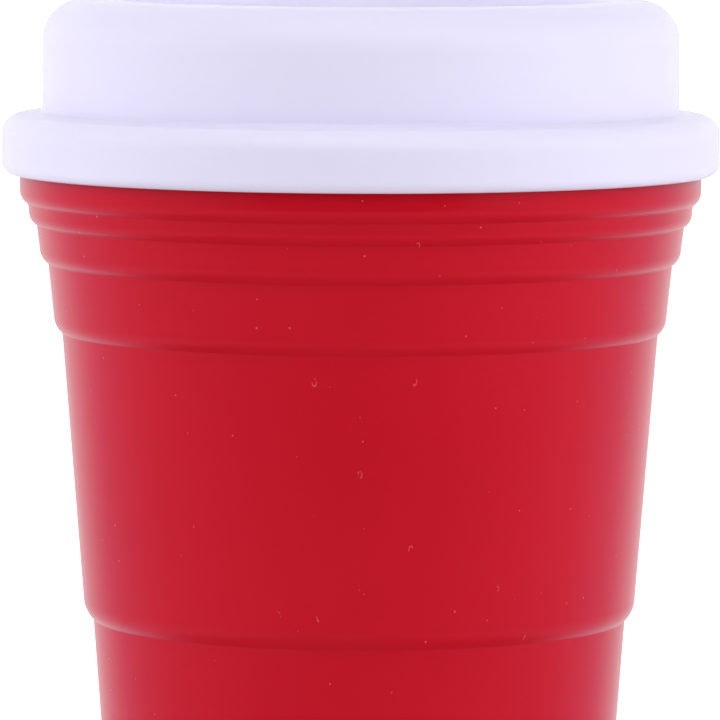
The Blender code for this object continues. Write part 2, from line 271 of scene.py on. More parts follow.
class CupFinishes(bpy.types.PropertyGroup):
    """Colours and gloss of the four plastics."""

    red: FloatVectorProperty(
        name="Red",
        description="Colour of the shell",
        default=(0.505, 0.0025, 0.013),
        subtype="COLOR",
        min=0,
        max=1,
    )
    lid: FloatVectorProperty(
        name="Lid",
        description="Colour of the lid and the slide",
        default=(0.705, 0.68, 0.84),
        subtype="COLOR",
        min=0,
        max=1,
    )
    liner: FloatVectorProperty(
        name="Liner",
        description="Colour of the liner",
        default=(0.84, 0.83, 0.86),
        subtype="COLOR",
        min=0,
        max=1,
    )
    silicone: FloatVectorProperty(
        name="Silicone",
        description="Colour of the seals",
        default=(0.68, 0.68, 0.71),
        subtype="COLOR",
        min=0,
        max=1,
    )
    specks: FloatProperty(
        name="Specks",
        description="Share of the places where a speck can be that have one",
        default=0.2,
        subtype="FACTOR",
        min=0,
        max=1,
    )


class CupStudio(bpy.types.PropertyGroup):
    """Camera and lights."""

    distance: FloatProperty(
        name="Distance",
        description="From the camera to its aim",
        default=0.9044,
        unit="LENGTH",
        precision=4,
    )
    elevation: FloatProperty(
        name="Elevation",
        description="Of the camera above its aim",
        default=math.radians(4.86),
        subtype="ANGLE",
    )
    roll: FloatProperty(
        name="Roll",
        description="Of the camera",
        default=math.radians(0.2),
        subtype="ANGLE",
    )
    aim: FloatProperty(
        name="Aim Height",
        description="Height on the cup's axis that the camera aims at",
        default=0.0856,
        unit="LENGTH",
        precision=4,
    )
    lens: FloatProperty(
        name="Lens",
        description="Focal length",
        default=330,
        unit="CAMERA",
    )
    left: FloatProperty(
        name="Left Light",
        description="Power of the left softbox",
        default=14.0,
        unit="POWER",
    )
    right: FloatProperty(
        name="Right Light",
        description="Power of the right softbox",
        default=14.4,
        unit="POWER",
    )
    top: FloatProperty(
        name="Top Light",
        description="Power of the overhead softbox",
        default=3.9,
        unit="POWER",
    )


class Value:
    """A node's output that takes part in arithmetic: each operator adds a Math node."""

    def __init__(self, graph, socket):
        self.graph = graph
        self.socket = socket

    def __add__(self, other):
        return self.graph.maths("ADD", self, other)

    def __sub__(self, other):
        return self.graph.maths("SUBTRACT", self, other)

    def __rsub__(self, other):
        return self.graph.maths("SUBTRACT", other, self)

    def __mul__(self, other):
        return self.graph.maths("MULTIPLY", self, other)

    def __truediv__(self, other):
        return self.graph.maths("DIVIDE", self, other)

    def __lt__(self, other):
        return self.graph.maths("LESS_THAN", self, other)

    __radd__ = __add__
    __rmul__ = __mul__


class Graph:
    """Adds nodes to a tree and links them. Sockets go by their identifiers."""

    def __init__(self, tree):
        self.tree = tree

    def add(self, kind, settings, inputs):
        """A node's outputs by identifier. Settings come first, then values or links."""
        node = self.tree.nodes.new(kind)
        for name, value in settings.items():
            if name == "stops":
                self.set_stops(node.color_ramp, value)
            else:
                setattr(node, name, value)
        sockets = {socket.identifier: socket for socket in node.inputs}
        for name, value in inputs.items():
            if isinstance(value, Value):
                self.tree.links.new(value.socket, sockets[name])
            else:
                sockets[name].default_value = value
        return {socket.identifier: Value(self, socket) for socket in node.outputs}

    def set_stops(self, ramp, stops):
        while len(ramp.elements) < len(stops):
            ramp.elements.new(1.0)
        for element, (position, colour) in zip(ramp.elements, stops):
            element.position = position
            element.color = (*colour, 1.0)

    def maths(self, operation, *values):
        inputs = dict(zip(("Value", "Value_001"), values))
        return self.add("ShaderNodeMath", {"operation": operation}, inputs)["Value"]

    def ease(self, value, low, high):
        """0 at low, 1 at high and smooth between them."""
        settings = {"interpolation_type": "SMOOTHSTEP"}
        inputs = {"Value": value, "From Min": low, "From Max": high}
        return self.add("ShaderNodeMapRange", settings, inputs)["Result"]

    def blend(self, share, first, second):
        inputs = {"Factor_Float": share, "A_Color": first, "B_Color": second}
        return self.add("ShaderNodeMix", {"data_type": "RGBA"}, inputs)["Result_Color"]

    def noise(self, place, scale, detail=2.0, roughness=0.5):
        inputs = {"Vector": place, "Scale": scale, "Detail": detail, "Roughness": roughness}
        return self.add("ShaderNodeTexNoise", {}, inputs)["Fac"]

    def stretched(self, place, scale):
        inputs = {"Vector": place, "Scale": scale}
        return self.add("ShaderNodeMapping", {"vector_type": "POINT"}, inputs)["Vector"]


def grey(light):
    return (light, light, light, 1.0)


def rgba(colour, light=1.0):
    return (*(min(1.0, light * channel) for channel in colour), 1.0)


def object_place(graph):
    return graph.add("ShaderNodeTexCoord", {}, {})["Object"]


def unrolled(graph, place, radius):
    """Distance round the axis from the front and height, as on a sheet rolled round the cup."""
    axes = graph.add("ShaderNodeSeparateXYZ", {}, {"Vector": place})
    around = graph.maths("ARCTAN2", axes["X"], 0.0 - axes["Y"]) * radius
    return graph.add("ShaderNodeCombineXYZ", {}, {"X": around, "Y": axes["Z"]})["Vector"]


def specks(graph, sheet, pitch, share, size, hollow=False):
    """A mask of dots up to a size in metres or, if hollow, of short arcs, one to a cell at most."""
    cells = graph.add(
        "ShaderNodeTexVoronoi", {"voronoi_dimensions": "2D"}, {"Vector": sheet, "Scale": 1 / pitch}
    )
    draw = graph.add("ShaderNodeSeparateColor", {}, {"Color": cells["Color"]})
    reach = cells["Distance"] / ((draw["Green"] * 0.7 + 0.3) * (size / pitch))
    mask = graph.ease(reach, 1.0, 0.55) * (draw["Red"] < share)
    if hollow:
        gaps = graph.noise(sheet, 0.6 / size)
        mask = mask * graph.ease(reach, 0.45, 0.7) * graph.ease(gaps, 0.48, 0.56)
    return mask


def new_material(name, colour):
    material = bpy.data.materials.new(name)
    material.use_nodes = True
    material.node_tree.nodes.clear()
    material.diffuse_color = colour
    return material, Graph(material.node_tree)


def surface(graph, inputs):
    shader = graph.add("ShaderNodeBsdfPrincipled", {}, inputs)["BSDF"]
    graph.add("ShaderNodeOutputMaterial", {}, {"Surface": shader})


def bumped(graph, height, distance):
    inputs = {"Height": height, "Distance": distance, "Strength": 1.0}
    return graph.add("ShaderNodeBump", {}, inputs)["Normal"]


def mottled(graph, share, colour, dark, light):
    """A colour that shifts between a darker and a lighter one."""
    return graph.blend(share, rgba(colour, dark), rgba(colour, light))


def red_plastic(name, finishes):
    """Gloss red with faint clouding, pale dust flecks and short curved scuffs."""
    material, graph = new_material(name, rgba(finishes.red))
    place = object_place(graph)
    sheet = unrolled(graph, place, SHEET_RADIUS)
    clouds = graph.noise(place, 34.0, 3.0)
    ripple = graph.noise(place, 420.0)
    dust = specks(graph, sheet, 0.0047, finishes.specks, 0.00019)
    slanted = graph.stretched(sheet, (1.0, 0.6, 1.0))
    scuffs = specks(graph, slanted, 0.0066, finishes.specks, 0.0005, hollow=True)
    marks = graph.maths("MAXIMUM", dust, scuffs)
    body = mottled(graph, clouds, finishes.red, 0.94, 1.05)
    surface(graph, {
        "Base Color": graph.blend(marks * 0.45, body, (0.82, 0.2, 0.24, 1.0)),
        "Roughness": 0.13 + clouds * 0.08 + marks * 0.3,
        "IOR": 1.46,
        "Subsurface Weight": 0.4,
        "Subsurface Radius": (1.0, 0.1, 0.15),
        "Subsurface Scale": 0.0012,
        "Sheen Weight": 0.5,
        "Sheen Roughness": 0.35,
        "Sheen Tint": (1.0, 0.12, 0.2, 1.0),
        "Normal": bumped(graph, ripple * 0.12 + marks, 0.00004),
    })
    return material


def lid_plastic(name, finishes):
    """Smooth lavender white with a soft skin, faint flow lines and a few grey nibs."""
    material, graph = new_material(name, rgba(finishes.lid))
    place = object_place(graph)
    sheet = unrolled(graph, place, LID_SHEET_RADIUS)
    clouds = graph.noise(place, 26.0, 2.0)
    streaks = graph.noise(graph.stretched(sheet, (520.0, 30.0, 1.0)), 1.0, 2.0)
    ripple = graph.noise(place, 300.0)
    nibs = specks(graph, sheet, 0.0085, finishes.specks, 0.0003)
    body = mottled(graph, clouds, finishes.lid, 0.985, 1.01)
    surface(graph, {
        "Base Color": graph.blend(nibs * 0.35, body, (0.55, 0.5, 0.6, 1.0)),
        "Roughness": 0.2 + clouds * 0.08 + streaks * 0.02 + nibs * 0.2,
        "IOR": 1.46,
        "Subsurface Weight": 0.5,
        "Subsurface Radius": (1.0, 0.98, 1.1),
        "Subsurface Scale": 0.0015,
        "Normal": bumped(graph, ripple * 0.15 + nibs, 0.00003),
    })
    return material


def liner_plastic(name, finishes):
    """Satin white with the fine rings that a turned mould leaves."""
    material, graph = new_material(name, rgba(finishes.liner))
    place = object_place(graph)
    rings = graph.noise(graph.stretched(place, (6.0, 6.0, 1400.0)), 1.0, 2.0)
    clouds = graph.noise(place, 40.0)
    surface(graph, {
        "Base Color": mottled(graph, clouds, finishes.liner, 0.97, 1.02),
        "Roughness": 0.26 + rings * 0.1,
        "IOR": 1.46,
        "Normal": bumped(graph, rings, 0.00001),
    })
    return material


def silicone(name, finishes):
    """Soft milky rubber with a fine blush of dust."""
    material, graph = new_material(name, rgba(finishes.silicone))
    place = object_place(graph)
    grain = graph.noise(place, 1500.0)
    bloom = graph.noise(place, 180.0, 4.0, 0.6)
    surface(graph, {
        "Base Color": mottled(graph, bloom, finishes.silicone, 0.93, 1.06),
        "Roughness": 0.48 + bloom * 0.2,
        "IOR": 1.41,
        "Sheen Weight": 0.15,
        "Normal": bumped(graph, grain, 0.00002),
    })
    return material


def finish_of(maker, name, context):
    """The material of that name, made when it is first asked for."""
    return bpy.data.materials.get(name) or maker(name, context.scene.cup_finishes)


def arc(centre, radius, start, end, steps):
    """Points on a circle from start to end, in degrees, where 0 points outwards and 90 up."""
    angles = [math.radians(start + (end - start) * i / steps) for i in range(steps + 1)]
    return [(centre[0] + radius * math.cos(a), centre[1] + radius * math.sin(a)) for a in angles]


def softened(corners, closed=False):
    """The outline's points, with an arc at each corner that has a fillet."""
    points = []
    for i, corner in enumerate(corners):
        here = Vector(corner[:2])
        if len(corner) < 3:
            points.append(tuple(here))
            continue
        back = (Vector(corners[i - 1][:2]) - here).normalized()
        ahead = (Vector(corners[(i + 1) % len(corners)][:2]) - here).normalized()
        half = 0.5 * back.angle(ahead)
        centre = here + (back + ahead).normalized() * corner[2] / math.sin(half)
        start = here + back * corner[2] / math.tan(half) - centre
        end = here + ahead * corner[2] / math.tan(half) - centre
        first = math.atan2(start.y, start.x)
        turn = math.remainder(math.atan2(end.y, end.x) - first, 2 * math.pi)
        steps = max(2, math.ceil(abs(turn) / ARC_STEP))
        points += arc(centre, corner[2], math.degrees(first), math.degrees(first + turn), steps)
    return points + points[:1] if closed else points


def start_tree(name, sockets):
    """A new geometry tree's graph, and the values of its named inputs."""
    tree = bpy.data.node_groups.new(name, "GeometryNodeTree")
    for socket, kind in sockets.items():
        tree.interface.new_socket(socket, in_out="INPUT", socket_type="NodeSocket" + kind)
    graph = Graph(tree)
    given = graph.add("NodeGroupInput", {}, {})
    return graph, list(given.values())[:len(sockets)]


def finish_tree(graph, geometry, material):
    """Real geometry, smooth shading and the material at a tree's end."""
    mesh = graph.tree.interface.new_socket("Mesh", in_out="OUTPUT", socket_type="NodeSocketGeometry")
    real = graph.add("GeometryNodeRealizeInstances", {}, {"Geometry": geometry})["Geometry"]
    smooth = graph.add("GeometryNodeSetShadeSmooth", {}, {"Geometry": real})["Geometry"]
    inputs = {"Geometry": smooth, "Material": material}
    painted = graph.add("GeometryNodeSetMaterial", {}, inputs)["Geometry"]
    graph.add("NodeGroupOutput", {}, {mesh.identifier: painted})
    return graph.tree


def turning_tree(name):
    """Turns an outline, given as a chain of points in order, about the Z axis."""
    graph, (outline, segments, weld, material) = start_tree(name, {
        "Outline": "Geometry",
        "Segments": "Int",
        "Weld Distance": "Float",
        "Material": "Material",
    })
    count = graph.add("GeometryNodeAttributeDomainSize", {}, {"Geometry": outline})["Point Count"]
    across = segments + 1.0
    grid = {"Vertices X": count, "Vertices Y": across}
    sheet = graph.add("GeometryNodeMeshGrid", {}, grid)["Mesh"]
    index = graph.add("GeometryNodeInputIndex", {}, {})["Index"]
    row = graph.maths("FLOOR", (index + 0.5) / across)
    place = graph.add("GeometryNodeInputPosition", {}, {})["Position"]
    sample = {"Geometry": outline, "Value": place, "Index": row}
    corner = graph.add("GeometryNodeSampleIndex", {"data_type": "FLOAT_VECTOR"}, sample)["Value"]
    axes = graph.add("ShaderNodeSeparateXYZ", {}, {"Vector": corner})
    turn = (index - row * across) * (2 * math.pi) / segments
    around = graph.add("ShaderNodeCombineXYZ", {}, {
        "X": axes["X"] * graph.maths("COSINE", turn),
        "Y": axes["X"] * graph.maths("SINE", turn),
        "Z": axes["Z"],
    })["Vector"]
    inputs = {"Geometry": sheet, "Position": around}
    moved = graph.add("GeometryNodeSetPosition", {}, inputs)["Geometry"]
    inputs = {"Geometry": moved, "Distance": weld}
    welded = graph.add("GeometryNodeMergeByDistance", {}, inputs)["Geometry"]
    return finish_tree(graph, welded, material)


def rib_tree(name):
    """Repeats a rib along Y, about the middle of the row."""
    graph, (rib, count, pitch, material) = start_tree(name, {
        "Rib": "Geometry",
        "Count": "Int",
        "Pitch": "Float",
        "Material": "Material",
    })
    first = graph.add("ShaderNodeCombineXYZ", {}, {"Y": (count - 1.0) * pitch * -0.5})["Vector"]
    step = graph.add("ShaderNodeCombineXYZ", {}, {"Y": pitch})["Vector"]
    inputs = {"Count": count, "Start Location": first, "Offset": step}
    line = graph.add("GeometryNodeMeshLine", {}, inputs)["Mesh"]
    inputs = {"Points": line, "Instance": rib}
    row = graph.add("GeometryNodeInstanceOnPoints", {}, inputs)["Instances"]
    return finish_tree(graph, row, material)


def link(obj):
    bpy.context.scene.collection.objects.link(obj)
    return obj


def baked(obj):
    """Puts the evaluated mesh in place of the object's own and removes its modifiers."""
    graph = bpy.context.evaluated_depsgraph_get()
    mesh = bpy.data.meshes.new_from_object(obj.evaluated_get(graph))
    obj.modifiers.clear()
    before = obj.data
    obj.data = mesh
    bpy.data.meshes.remove(before)
    mesh.name = obj.name
    return obj


def run_tree(obj, maker, name, values):
    """Runs the geometry tree of that name on the object, its inputs by name, and bakes it."""
    tree = bpy.data.node_groups.get(name) or maker(name)
    modifier = obj.modifiers.new(name, "NODES")
    modifier.node_group = tree
    for item in tree.interface.items_tree:
        if item.in_out == "INPUT" and item.name in values:
            modifier[item.identifier] = values[item.name]
    return baked(obj)


def turned(name, corners, material, segments, closed=False):
    """A solid turned about Z from its outline."""
    points = softened(corners, closed)
    mesh = bpy.data.meshes.new(name)
    chain = [(i, i + 1) for i in range(len(points) - 1)]
    mesh.from_pydata([(radius * MM, 0.0, height * MM) for radius, height in points], chain, [])
    obj = link(bpy.data.objects.new(name, mesh))
    values = {"Segments": segments, "Weld Distance": WELD, "Material": material}
    return run_tree(obj, turning_tree, "Turned piece", values)


def rounded_loop(form, size, corner, centre, height):
    """A loop of vertices round a rectangle with round corners."""
    corner = min(corner, 0.4999 * min(size))
    reach = (0.5 * size[0] - corner, 0.5 * size[1] - corner)
    loop = []
    for i, (x, y) in enumerate(((1, 1), (-1, 1), (-1, -1), (1, -1))):
        middle = (centre[0] + x * reach[0], centre[1] + y * reach[1])
        for point in arc(middle, corner, 90 * i, 90 * (i + 1), CORNER_STEPS):
            loop.append(form.verts.new((point[0] * MM, point[1] * MM, height * MM)))
    return loop


def lofted(name, size, corner, centre, layers, material):
    """A closed solid through rounded rectangles, one for each (outset, height), bottom first."""
    form = bmesh.new()
    loops = []
    for outset, height in layers:
        wide = (size[0] + 2 * outset, size[1] + 2 * outset)
        loops.append(rounded_loop(form, wide, max(corner + outset, 0.05), centre, height))
    for lower, upper in zip(loops, loops[1:]):
        for i, vert in enumerate(lower):
            form.faces.new((lower[i - 1], vert, upper[i], upper[i - 1]))
    form.faces.new(loops[0][::-1])
    form.faces.new(loops[-1])
    bmesh.ops.recalc_face_normals(form, faces=form.faces)
    mesh = bpy.data.meshes.new(name)
    form.to_mesh(mesh)
    form.free()
    mesh.materials.append(material)
    mesh.shade_smooth()
    return link(bpy.data.objects.new(name, mesh))


def edge_layers(radius, height, above):
    """Layers of a rounded edge at a height: a block's top edge if above, else its bottom edge."""
    side = -1 if above else 1
    layers = [
        (-radius * (1 - math.cos(angle)), height + side * radius * (1 - math.sin(angle)))
        for angle in (math.radians(90 * i / EDGE_STEPS) for i in range(EDGE_STEPS + 1))
    ]
    return layers if above else layers[::-1]


def block(name, size, corner, centre, low, high, material, low_edge=0.15, high_edge=0.4):
    """An upright block with rounded corners and edges."""
    layers = edge_layers(low_edge, low, above=False) + edge_layers(high_edge, high, above=True)
    return lofted(name, size, corner, centre, layers, material)


def hole_cutter(name, size, corner, centre, low, high, material, edge=0.4):
    """A cutter for a hole through a plate from low to high that leaves round edges."""
    layers = [(edge, low - CUTTER_REACH)]
    layers += [(-outset, height) for outset, height in edge_layers(edge, low, above=False)]
    layers += [(-outset, height) for outset, height in edge_layers(edge, high, above=True)]
    layers.append((edge, high + CUTTER_REACH))
    return lofted(name, size, corner, centre, layers, material)


def combine(obj, others, operation):
    """Joins or cuts with each of the others, which are then removed."""
    for other in others:
        boolean = obj.modifiers.new(other.name, "BOOLEAN")
        boolean.operation = operation
        boolean.solver = "EXACT"
        boolean.object = other
        baked(obj)
        bpy.data.objects.remove(other, do_unlink=True)
    return obj


def finish_piece(obj, body, node):
    """Even shading, then the piece takes its CAD node's place on its body."""
    obj.data.shade_smooth()
    obj.data.set_sharp_from_angle(angle=SHARP_ANGLE)
    weighted = obj.modifiers.new("Even shading", "WEIGHTED_NORMAL")
    weighted.keep_sharp = True
    weighted.weight = 80
    baked(obj)
    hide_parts(node)
    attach(obj, body)


def roll(band, crease):
    """The curl from a band's wall in to its crease, which has a small fillet."""
    turn = math.degrees(math.acos(1.0 - (band.roll_radius - band.crease_radius) / band.roll))
    height = band.crease_height + band.roll * math.sin(math.radians(turn))
    curl = arc((band.roll_radius - band.roll, height), band.roll, 0, -turn, ROLL_STEPS)
    return curl[:-1] + [(*curl[-1], crease)]


def shell_outline(sizes):
    wall = sizes.shell_wall / MM
    starts = [SHELL_TOP] + [band.crease_height for band in BANDS]
    outer = []
    inner = []
    for band, start in zip(BANDS, starts):
        outer += [(band.top_radius, start - 2 * FIT)] + roll(band, sizes.crease / MM)
        inner += [
            (band.top_radius - wall, start - 2 * FIT),
            (band.roll_radius - wall, band.crease_height + ROLL_BACKING * band.roll),
        ]
    outer[0] = (BANDS[0].top_radius, SHELL_TOP, FIT)
    inner[0] = (BANDS[0].top_radius - wall, SHELL_TOP, FIT)
    foot_wall = FOOT_TOP_RADIUS - wall
    floor = BASE_RECESS + BASE_THICKNESS
    inner += [(foot_wall, starts[-1] - 2 * FIT), (foot_wall - FIT, floor, SHELL_FLOOR_FILLET)]
    foot = [
        (FOOT_TOP_RADIUS, starts[-1] - 2 * FIT),
        (FOOT_RADIUS, 0.0, FOOT_ROUND),
        (FOOT_INNER[0], 0.0, 0.5),
        (FOOT_INNER[1], BASE_RECESS, 0.8),
        (0.0, BASE_RECESS),
    ]
    return [(0.0, floor)] + inner[::-1] + outer + foot


def liner_outline(sizes):
    wall = sizes.liner_wall / MM
    mouth = LINER_TAPER[0][0]
    under = LINER_HIGH.z - FLANGE_THICKNESS
    hull = LINER_FLOOR_RADIUS + wall
    return [
        (0.0, LINER_FLOOR),
        (LINER_FLOOR_RADIUS, LINER_FLOOR, LINER_FILLET),
        *LINER_TAPER[::-1],
        (mouth, LINER_HIGH.z, 0.8),
        (LINER_HIGH.x, LINER_HIGH.z, 0.5),
        (LINER_HIGH.x, under, FIT),
        (mouth + wall, under, 0.5),
        *[(radius + wall, height) for radius, height, _ in LINER_TAPER],
        (hull, LINER_LOW.z, LINER_FILLET + wall),
        (0.0, LINER_LOW.z),
    ]


def cover_outline(sizes):
    wall = sizes.lid_wall / MM
    top = COVER_HIGH.z
    skirt = COVER_HIGH.x
    deck_under = DECK_TOP - DECK_THICKNESS
    land_under = LINER_HIGH.z + FIT
    bore = DOME_RADIUS - wall
    return [
        (0.0, DECK_TOP),
        (WELL_RADIUS - FIT, DECK_TOP, 1.5),
        (CREST_INNER, top, 0.8),
        (DOME_RADIUS - 0.03, top, SHOULDER),
        (DOME_RADIUS, LAND_TOP, 0.5),
        (skirt - 0.03, LAND_END, SKIRT_SHOULDER),
        (skirt, COVER_LOW.z, SKIRT_ROUND),
        (SKIRT_INNER, COVER_LOW.z, 0.03),
        (SKIRT_INNER, land_under, 0.6),
        (bore, land_under, FIT),
        (bore, top - wall, SHOULDER - wall),
        (CREST_INNER + wall, top - wall, 0.5),
        (WELL_RADIUS + wall, deck_under, 0.4),
        (0.0, deck_under),
    ]


def insert_outline():
    bore = INSERT_HIGH.x
    floor = INSERT_LOW.z + INSERT_WALL
    groove, groove_bottom, groove_top = GROOVE
    inside = groove - INSERT_WALL
    return [
        (0.0, floor),
        (inside, floor, 1.5),
        (inside, groove_top, 1.0),
        (bore - INSERT_WALL, groove_top + INSERT_WALL, 0.8),
        (bore - INSERT_WALL, INSERT_HIGH.z, 0.4),
        (bore, INSERT_HIGH.z, 0.4),
        (PLUG_RADIUS, groove_top + 0.8, 0.2),
        (PLUG_RADIUS - 0.4, groove_top, 0.2),
        (groove, groove_top, 0.15),
        (groove, groove_bottom, 0.15),
        (GROOVE_LIP, groove_bottom, 0.3),
        (GROOVE_LIP, INSERT_LOW.z, 1.0),
        (0.0, INSERT_LOW.z),
    ]


def gasket_outline():
    """A flat band with two pointed fins."""
    inside = GROOVE[0] + FIT
    tip = GASKET_HIGH.x
    band = tip - FIN_REACH
    corners = [(inside, GASKET_LOW.z, 0.15), (inside, GASKET_HIGH.z, 0.15)]
    for top in (GASKET_HIGH.z, GASKET_HIGH.z - FIN_PITCH):
        corners += [
            (band, top, 0.3),
            (tip, top - 0.55 * FIN_HEIGHT, 0.16),
            (band, top - FIN_HEIGHT, 0.25),
        ]
    return corners + [(band, GASKET_LOW.z, 0.15)]


def move_to_y(obj, y):
    obj.data.transform(Matrix.Translation((0, y * MM, 0)))
    return obj


class CUP_OT_shell(bpy.types.Operator):
    """Turn the stepped red shell"""

    bl_idname = "travel_cup.shell"
    bl_label = "Outer Shell"

    def execute(self, context):
        sizes = context.scene.cup_sizes
        material = finish_of(red_plastic, "gloss_red", context)
        shell = turned("stepped_shell", shell_outline(sizes), material, sizes.segments)
        finish_piece(shell, "cup", "outer_shell")
        return {"FINISHED"}


class CUP_OT_liner(bpy.types.Operator):
    """Turn the white liner that holds the drink"""

    bl_idname = "travel_cup.liner"
    bl_label = "Inner Liner"

    def execute(self, context):
        sizes = context.scene.cup_sizes
        material = finish_of(liner_plastic, "satin_white", context)
        liner = turned("drink_liner", liner_outline(sizes), material, sizes.segments)
        finish_piece(liner, "cup", "inner_liner")
        return {"FINISHED"}


class CUP_OT_cover(bpy.types.Operator):
    """Turn the lid's cover, add the slide's rails and open the sip hole, the slot and the vent"""

    bl_idname = "travel_cup.cover"
    bl_label = "Lid Cover"

    def execute(self, context):
        sizes = context.scene.cup_sizes
        material = finish_of(lid_plastic, "gloss_white", context)
        cover = turned("lid_shell", cover_outline(sizes), material, sizes.segments)
        rail_x = SLIDE_HIGH.x + RAIL_GAP + 0.5 * RAIL_SIZE[0]
        rail_y = STEM_Y + 0.5 * RAIL_SIZE[1] - RAIL_LEAD
        rail_span = (DECK_TOP - 2 * ROOT, DECK_TOP + RAIL_SIZE[2])
        rails = [
            block("rail", RAIL_SIZE[:2], RAIL_CORNER, (side * rail_x, rail_y), *rail_span, material)
            for side in (-1, 1)
        ]
        combine(cover, rails, "UNION")
        slot = 2 * (STEM_RADIUS + FIT)
        slot_size = (slot, slot + SLIDE_TRAVEL)
        holes = (
            ("sip_hole", SIP_SIZE, SIP_CORNER, (0, SIP_Y), 0.4),
            ("slot", slot_size, slot, (0, STEM_Y + 0.5 * SLIDE_TRAVEL), SMALL_EDGE),
            ("vent", VENT_SIZE, VENT_RADIUS, (0, VENT_Y), SMALL_EDGE),
        )
        combine(cover, [
            hole_cutter(name, size, corner, centre, DECK_TOP - DECK_THICKNESS, DECK_TOP, material, edge)
            for name, size, corner, centre, edge in holes
        ], "DIFFERENCE")
        finish_piece(cover, "lid", "lid_cover")
        return {"FINISHED"}


class CUP_OT_insert(bpy.types.Operator):
    """Turn the lid's insert, with its drinking channel and vent tube"""

    bl_idname = "travel_cup.insert"
    bl_label = "Lid Insert"

    def execute(self, context):
        material = finish_of(lid_plastic, "gloss_white", context)
        insert = turned("lid_plug", insert_outline(), material, context.scene.cup_sizes.segments)
        top = DECK_TOP - DECK_THICKNESS - FIT
        bottom = INSERT_LOW.z
        low = bottom + 0.5 * INSERT_WALL
        sip = (0, SIP_Y)
        vent = (0, VENT_Y)
        channel = (SIP_SIZE[0] + 2 * CHANNEL_WALL, SIP_SIZE[1] + 2 * CHANNEL_WALL)
        tube = (2 * VENT_TUBE_RADIUS, 2 * VENT_TUBE_RADIUS)
        combine(insert, [
            block("channel", channel, CHANNEL_CORNER, sip, low, top, material),
            block("tube", tube, VENT_TUBE_RADIUS, vent, low, top, material),
        ], "UNION")
        combine(insert, [
            hole_cutter("channel_hole", SIP_SIZE, SIP_CORNER, sip, bottom, top, material),
            hole_cutter("tube_hole", VENT_SIZE, VENT_RADIUS, vent, bottom, top, material, SMALL_EDGE),
        ], "DIFFERENCE")
        finish_piece(insert, "lid", "lid_insert")
        return {"FINISHED"}


class CUP_OT_gasket(bpy.types.Operator):
    """Turn the finned gasket in the insert's groove"""

    bl_idname = "travel_cup.gasket"
    bl_label = "Lid Gasket"

    def execute(self, context):
        material = finish_of(silicone, "milky_rubber", context)
        segments = context.scene.cup_sizes.segments
        gasket = turned("gasket_ring", gasket_outline(), material, segments, closed=True)
        finish_piece(gasket, "gasket", "lid_gasket")
        return {"FINISHED"}


class CUP_OT_slide(bpy.types.Operator):
    """Build the slide with its ribbed thumb pad and its stem, the seal under it and the clip"""

    bl_idname = "travel_cup.slide"
    bl_label = "Slide, Seal and Clip"

    def execute(self, context):
        sizes = context.scene.cup_sizes
        material = finish_of(lid_plastic, "gloss_white", context)
        rubber = finish_of(silicone, "milky_rubber", context)
        low = DECK_TOP + FIT
        plate_top = low + PLATE_THICKNESS
        thumb_top = plate_top + THUMB_SIZE[2]
        middle = (0, STEM_Y)
        plate = (SLIDE_HIGH.x - SLIDE_LOW.x, SLIDE_HIGH.y - SLIDE_LOW.y)
        slide = block("slide", plate, PLATE_CORNER, middle, low, plate_top, material, high_edge=PLATE_EDGE)
        thumb_low = plate_top - ROOT
        thumb = block("thumb", THUMB_SIZE[:2], THUMB_CORNER, middle, thumb_low, thumb_top, material,
                      high_edge=THUMB_EDGE)
        rib_span = (thumb_top - ROOT, thumb_top + RIB_SIZE[2])
        ribs = block("ribs", RIB_SIZE[:2], RIB_CORNER, (0, 0), *rib_span, material)
        values = {"Count": sizes.ribs, "Pitch": sizes.rib_pitch, "Material": material}
        run_tree(ribs, rib_tree, "Grip ribs", values)
        move_to_y(ribs, STEM_Y)
        catch = DECK_TOP - DECK_THICKNESS - 2 * FIT - (CLIP_HIGH.z - CLIP_LOW.z)
        stem = turned("stem", [
            (0.0, plate_top - ROOT),
            (STEM_RADIUS, plate_top - ROOT),
            (STEM_RADIUS, catch),
            (BARB_RADIUS, catch - FIT, 0.15),
            (BARB_RADIUS, catch - 2 * FIT, 0.15),
            (0.5 * BARB_RADIUS, SLIDE_LOW.z, 0.4),
            (0.0, SLIDE_LOW.z),
        ], material, SMALL_SEGMENTS)
        move_to_y(stem, STEM_Y)
        combine(slide, [thumb, ribs, stem], "UNION")
        seal_size = (SEAL_HIGH.x - SEAL_LOW.x, SEAL_HIGH.y - SEAL_LOW.y)
        room = [side + 2 * FIT for side in seal_size]
        pocket = block("pocket", room, SEAL_CORNER + FIT, (0, SIP_Y), low - 2 * ROOT,
                       SEAL_HIGH.z + FIT, material, high_edge=0.2)
        combine(slide, [pocket], "DIFFERENCE")
        finish_piece(slide, "slider", "sip_slider")
        seal = block("slide_seal", seal_size, SEAL_CORNER, (0, SIP_Y), SEAL_LOW.z, SEAL_HIGH.z,
                     rubber, *SEAL_EDGES)
        finish_piece(seal, "slider", "slider_seal")
        bore = STEM_RADIUS + FIT
        clip = turned("slide_clip", [
            (bore, CLIP_LOW.z, 0.2),
            (bore, CLIP_HIGH.z, 0.2),
            (CLIP_HIGH.x, CLIP_HIGH.z, 0.3),
            (CLIP_HIGH.x, CLIP_LOW.z, 0.3),
        ], material, SMALL_SEGMENTS, closed=True)
        move_to_y(clip, STEM_Y)
        finish_piece(clip, "slider", "slider_clip")
        return {"FINISHED"}


